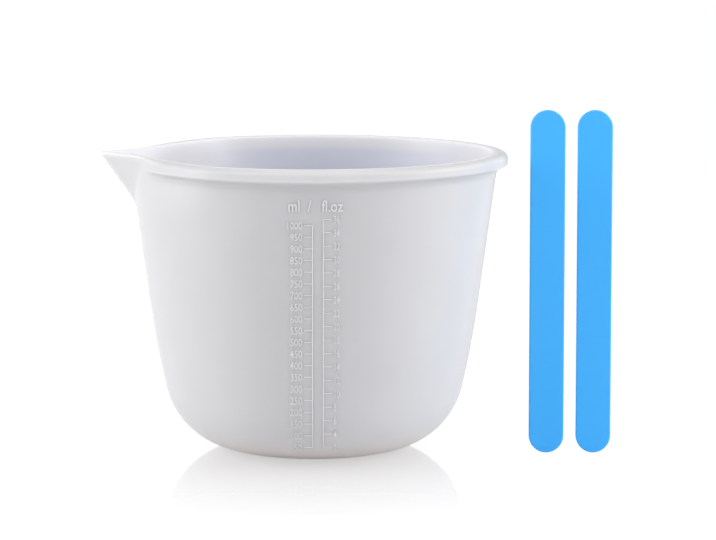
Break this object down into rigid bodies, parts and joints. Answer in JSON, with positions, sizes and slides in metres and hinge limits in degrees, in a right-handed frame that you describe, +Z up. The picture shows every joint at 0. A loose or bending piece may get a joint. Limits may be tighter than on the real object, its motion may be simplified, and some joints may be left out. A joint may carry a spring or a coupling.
{
  "type": "resin mixing cup",
  "caption": "Round soft mixing cup with a beaded rim, a pinched pouring spout and a measuring scale on its front, with flat stir sticks beside it.",
  "frame": {"origin": "middle of the cup's flat base, on the surface that the set stands on", "axes": "+Z up the cup's axis, -X towards the pouring spout, -Y towards the side with the measuring scale"},
  "size_m": [0.1992, 0.1514, 0.134],
  "materials": {
    "milky_silicone": "milky translucent silicone, satin",
    "blue_silicone": "sky blue silicone, matte"
  },
  "bodies": {
    "cup": {"cup": "milky_silicone"},
    "stir_stick_left": {"stir_stick_left": "blue_silicone"},
    "stir_stick_right": {"stir_stick_right": "blue_silicone"}
  },
  "joints": [
    {"name": "left_stick_lift", "type": "slide", "parent": "cup", "child": "stir_stick_left", "axis": [0, 0, 1], "range_m": [0, 0.15]},
    {"name": "right_stick_lift", "type": "slide", "parent": "cup", "child": "stir_stick_right", "axis": [0, 0, 1], "range_m": [0, 0.15]}
  ]
}
